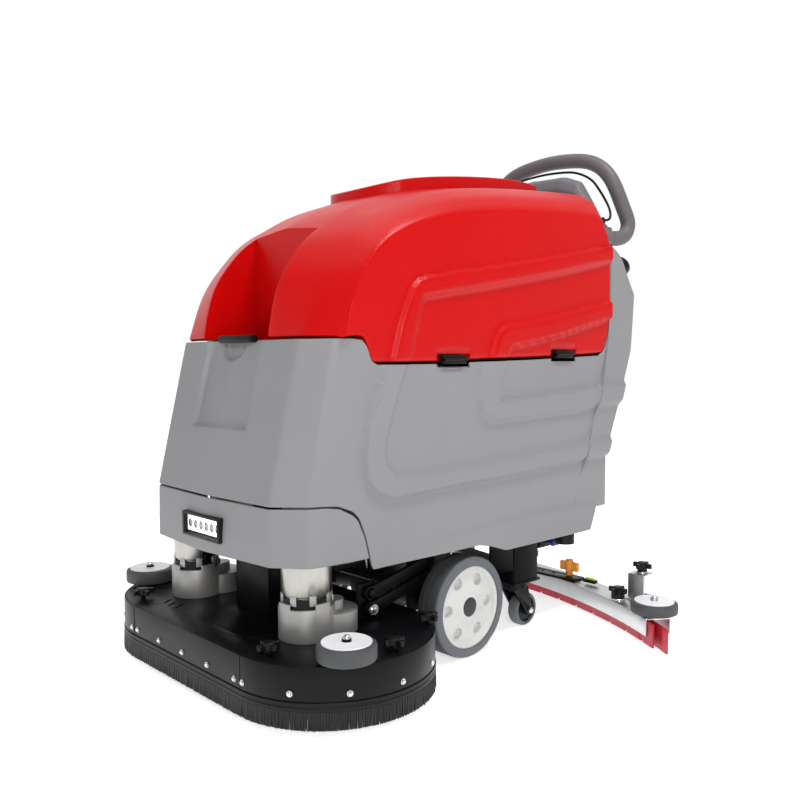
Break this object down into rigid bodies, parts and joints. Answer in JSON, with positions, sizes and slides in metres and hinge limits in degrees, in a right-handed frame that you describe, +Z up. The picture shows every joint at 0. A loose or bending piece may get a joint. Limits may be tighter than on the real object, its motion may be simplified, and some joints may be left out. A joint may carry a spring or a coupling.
{
  "type": "walk-behind floor scrubber",
  "caption": "Walk-behind floor scrubber with twin disc brushes, tilting recovery tank, lifting deck, drive wheels, castors and curved squeegee.",
  "frame": {"origin": "on the floor under the middle of the whole machine", "axes": "+Z up, -Y the front with the brush deck, +X the side with the hood hinges (the operator stands at +Y)"},
  "size_m": [1.0726, 1.1608, 1.1425],
  "materials": {
    "painted_black": "black powder-coated sheet steel, satin",
    "grey_moulding": "grey rotational moulding, fine grain",
    "red_moulding": "red rotational moulding, glossy orange-peel",
    "black_plastic": "black moulded plastic, satin",
    "lens": "clear lamp lens",
    "battery": "dark battery case, matte",
    "motor_steel": "zinc-plated motor can",
    "cast_aluminium": "die-cast aluminium, matte",
    "zinc_steel": "zinc-plated steel",
    "dark_casting": "dark painted casting",
    "handle_grip": "grey moulded grip, matte",
    "console_grey": "grey moulded housing",
    "stop_red": "red button",
    "valve_blue": "blue lever",
    "knob_orange": "orange wing knob",
    "tyre_grey": "grey non-marking tyre",
    "hub_white": "light grey wheel centre",
    "roller_rubber": "grey rubbing roller with a pale centre disc",
    "bristle_black": "black bristles",
    "bristle_grey": "grey brush bristles",
    "channel_aluminium": "silver-painted aluminium",
    "blade_red": "red polyurethane blade",
    "hose_black": "black ribbed hose"
  },
  "bodies": {
    "chassis": {"chassis_frame": "painted_black", "solution_tank": "grey_moulding", "bumper_cover": "grey_moulding", "light_housing": "black_plastic", "light_lens": "lens", "battery_pack": "battery", "vacuum_motor": "motor_steel", "transaxle": "dark_casting", "hood_hinges": "black_plastic", "lift_actuator": "black_plastic", "water_valve": "black_plastic", "console_housing": "console_grey", "console_panel": "black_plastic", "handle_loop": "handle_grip", "suction_hose": "hose_black"},
    "valve_lever": {"valve_lever": "valve_blue"},
    "filler_cap": {"filler_cap": "black_plastic"},
    "key_switch": {"key_switch": "zinc_steel"},
    "stop_button": {"stop_button": "stop_red"},
    "speed_dial": {"speed_dial": "black_plastic"},
    "drive_bail": {"drive_bail": "painted_black"},
    "hood": {"recovery_tank": "red_moulding", "float_cage": "hub_white"},
    "lid": {"tank_lid": "red_moulding"},
    "lower_links": {"lower_links": "painted_black"},
    "upper_links": {"upper_links": "painted_black"},
    "actuator_rod": {"actuator_rod": "zinc_steel"},
    "deck": {"deck_plate": "painted_black", "skirt_band": "painted_black", "bristle_skirt": "bristle_black", "deck_bolts": "zinc_steel", "deck_knobs": "black_plastic", "deck_column": "painted_black", "brush_motors": "motor_steel", "gearcases": "cast_aluminium"},
    "brush_left": {"brush_left": "bristle_grey"},
    "brush_right": {"brush_right": "bristle_grey"},
    "front_roller_left": {"front_roller_left": "roller_rubber"},
    "front_roller_right": {"front_roller_right": "roller_rubber"},
    "drive_wheel_left": {"drive_tyre_left": "tyre_grey", "drive_hub_left": "hub_white"},
    "drive_wheel_right": {"drive_tyre_right": "tyre_grey", "drive_hub_right": "hub_white"},
    "castor_left": {"castor_fork_left": "painted_black"},
    "castor_right": {"castor_fork_right": "painted_black"},
    "castor_wheel_left": {"castor_wheel_left": "tyre_grey"},
    "castor_wheel_right": {"castor_wheel_right": "tyre_grey"},
    "squeegee_arm": {"squeegee_arm": "painted_black"},
    "squeegee": {"squeegee_bracket": "painted_black", "squeegee_channel": "channel_aluminium", "front_blade": "blade_red", "rear_blade": "blade_red", "suction_cuff": "black_plastic", "squeegee_knobs": "black_plastic"},
    "carrier_knob_left": {"carrier_knob_left": "knob_orange"},
    "carrier_knob_right": {"carrier_knob_right": "knob_orange"},
    "squeegee_roller_left": {"squeegee_roller_left": "roller_rubber"},
    "squeegee_roller_right": {"squeegee_roller_right": "roller_rubber"},
    "jack_wheel_left": {"jack_wheel_left": "tyre_grey"},
    "jack_wheel_right": {"jack_wheel_right": "tyre_grey"}
  },
  "joints": [
    {"name": "hood_tilt", "type": "hinge", "parent": "chassis", "child": "hood", "pos_m": [0.268, -0.13275, 0.6], "axis": [0, 0.9994, 0.0333], "range_deg": [0, 80]},
    {"name": "lid_open", "type": "hinge", "parent": "hood", "child": "lid", "pos_m": [0, 0.37875, 1.012], "axis": [-1, 0, 0], "range_deg": [0, 85]},
    {"name": "key_turn", "type": "hinge", "parent": "chassis", "child": "key_switch", "pos_m": [-0.076, 0.51725, 0.992], "axis": [0, 0.9063, 0.4226], "range_deg": [0, 90]},
    {"name": "stop_press", "type": "slide", "parent": "chassis", "child": "stop_button", "axis": [0, -0.9063, -0.4226], "range_m": [0, 0.006], "stiffness_N_per_m": 400},
    {"name": "speed_turn", "type": "hinge", "parent": "chassis", "child": "speed_dial", "pos_m": [0.076, 0.51725, 0.992], "axis": [0, 0.9063, 0.4226], "range_deg": [0, 270]},
    {"name": "bail_squeeze", "type": "hinge", "parent": "chassis", "child": "drive_bail", "pos_m": [0, 0.45375, 0.94], "axis": [-1, 0, 0], "range_deg": [0, 7], "stiffness_Nm_per_rad": 4, "springref_deg": -14.32},
    {"name": "valve_turn", "type": "hinge", "parent": "chassis", "child": "valve_lever", "pos_m": [0.172, 0.28575, 0.168], "axis": [-1, 0, 0], "range_deg": [0, 90]},
    {"name": "filler_cap_turn", "type": "hinge", "parent": "chassis", "child": "filler_cap", "pos_m": [0.226, 0.48225, 0.814], "axis": [0, 0.8202, 0.5721], "continuous": true},
    {"name": "deck_lift", "type": "hinge", "parent": "chassis", "child": "lower_links", "pos_m": [0, -0.13625, 0.165], "axis": [-1, 0, 0], "range_deg": [0, 14]},
    {"name": "deck_level", "type": "hinge", "parent": "lower_links", "child": "deck", "pos_m": [0, -0.29325, 0.13], "axis": [-1, 0, 0], "range_deg": [-14.5, 0.5]},
    {"name": "upper_link_swing", "type": "hinge", "parent": "chassis", "child": "upper_links", "pos_m": [0, -0.13625, 0.195], "axis": [-1, 0, 0], "range_deg": [-0.5, 14.5]},
    {"name": "lift_rod", "type": "slide", "parent": "chassis", "child": "actuator_rod", "axis": [0, 0, 1], "range_m": [-0.002, 0.055]},
    {"name": "brush_spin_left", "type": "hinge", "parent": "deck", "child": "brush_left", "pos_m": [0.1915, -0.38535, 0.04], "axis": [0, 0, 1], "continuous": true},
    {"name": "brush_spin_right", "type": "hinge", "parent": "deck", "child": "brush_right", "pos_m": [-0.1915, -0.38535, 0.04], "axis": [0, 0, 1], "continuous": true},
    {"name": "front_roller_spin_left", "type": "hinge", "parent": "deck", "child": "front_roller_left", "pos_m": [0.3385, -0.46775, 0.13], "axis": [0, 0, 1], "continuous": true},
    {"name": "front_roller_spin_right", "type": "hinge", "parent": "deck", "child": "front_roller_right", "pos_m": [-0.3385, -0.46775, 0.13], "axis": [0, 0, 1], "continuous": true},
    {"name": "drive_roll_left", "type": "hinge", "parent": "chassis", "child": "drive_wheel_left", "pos_m": [0.238, -0.08375, 0.1025], "axis": [1, 0, 0], "continuous": true},
    {"name": "drive_roll_right", "type": "hinge", "parent": "chassis", "child": "drive_wheel_right", "pos_m": [-0.238, -0.08375, 0.1025], "axis": [1, 0, 0], "continuous": true},
    {"name": "castor_swivel_left", "type": "hinge", "parent": "chassis", "child": "castor_left", "pos_m": [0.205, 0.12375, 0.1], "axis": [0, 0, 1], "continuous": true},
    {"name": "castor_roll_left", "type": "hinge", "parent": "castor_left", "child": "castor_wheel_left", "pos_m": [0.205, 0.15575, 0.0375], "axis": [1, 0, 0], "continuous": true},
    {"name": "castor_swivel_right", "type": "hinge", "parent": "chassis", "child": "castor_right", "pos_m": [-0.205, 0.12375, 0.1], "axis": [0, 0, 1], "continuous": true},
    {"name": "castor_roll_right", "type": "hinge", "parent": "castor_right", "child": "castor_wheel_right", "pos_m": [-0.205, 0.15575, 0.0375], "axis": [1, 0, 0], "continuous": true},
    {"name": "squeegee_lift", "type": "hinge", "parent": "chassis", "child": "squeegee_arm", "pos_m": [0, 0.07875, 0.165], "axis": [1, 0, 0], "range_deg": [0, 10], "deforming": ["suction_hose"]},
    {"name": "squeegee_swing", "type": "hinge", "parent": "squeegee_arm", "child": "squeegee", "pos_m": [0, 0.42675, 0.085], "axis": [0, 0, 1], "range_deg": [-10, 10]},
    {"name": "carrier_knob_turn_left", "type": "hinge", "parent": "squeegee", "child": "carrier_knob_left", "pos_m": [0.172, 0.38575, 0.075], "axis": [0, 0, 1], "continuous": true},
    {"name": "squeegee_roller_spin_left", "type": "hinge", "parent": "squeegee", "child": "squeegee_roller_left", "pos_m": [0.4662, 0.27935, 0.07], "axis": [0, 0, 1], "continuous": true},
    {"name": "jack_wheel_roll_left", "type": "hinge", "parent": "squeegee", "child": "jack_wheel_left", "pos_m": [0.385, 0.37975, 0.026], "axis": [1, 0, 0], "continuous": true},
    {"name": "carrier_knob_turn_right", "type": "hinge", "parent": "squeegee", "child": "carrier_knob_right", "pos_m": [-0.172, 0.38575, 0.075], "axis": [0, 0, 1], "continuous": true},
    {"name": "squeegee_roller_spin_right", "type": "hinge", "parent": "squeegee", "child": "squeegee_roller_right", "pos_m": [-0.4662, 0.27935, 0.07], "axis": [0, 0, 1], "continuous": true},
    {"name": "jack_wheel_roll_right", "type": "hinge", "parent": "squeegee", "child": "jack_wheel_right", "pos_m": [-0.385, 0.37975, 0.026], "axis": [1, 0, 0], "continuous": true}
  ],
  "couplings": [
    {"joint": "deck_level", "follows": "deck_lift", "ratio": -1},
    {"joint": "upper_link_swing", "follows": "deck_lift", "ratio": 1},
    {"joint": "lift_rod", "follows": "deck_lift", "m_per_rad": 0.1597}
  ]
}
